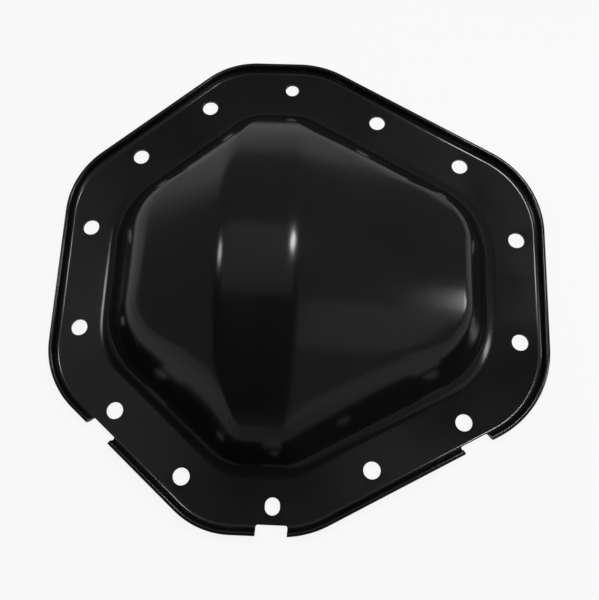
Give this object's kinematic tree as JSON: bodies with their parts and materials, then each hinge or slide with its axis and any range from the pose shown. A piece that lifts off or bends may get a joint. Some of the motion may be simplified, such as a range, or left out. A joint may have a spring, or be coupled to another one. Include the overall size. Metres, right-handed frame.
{
  "type": "differential cover",
  "caption": "Pressed steel rear axle differential cover: a flat bolt flange with a notched, turned-up rim round a deep dome with a ring gear bulge.",
  "frame": {"origin": "middle of the outline seen from above, on the gasket face", "axes": "+Z out of the gasket face to the crown, +Y along the upright bolt line towards the round locating hole, +X along the axle line towards the longer side"},
  "size_m": [0.336, 0.3372, 0.0845],
  "materials": {
    "black_paint": "gloss black paint"
  },
  "bodies": {
    "root": {"cover": "black_paint"}
  },
  "joints": []
}
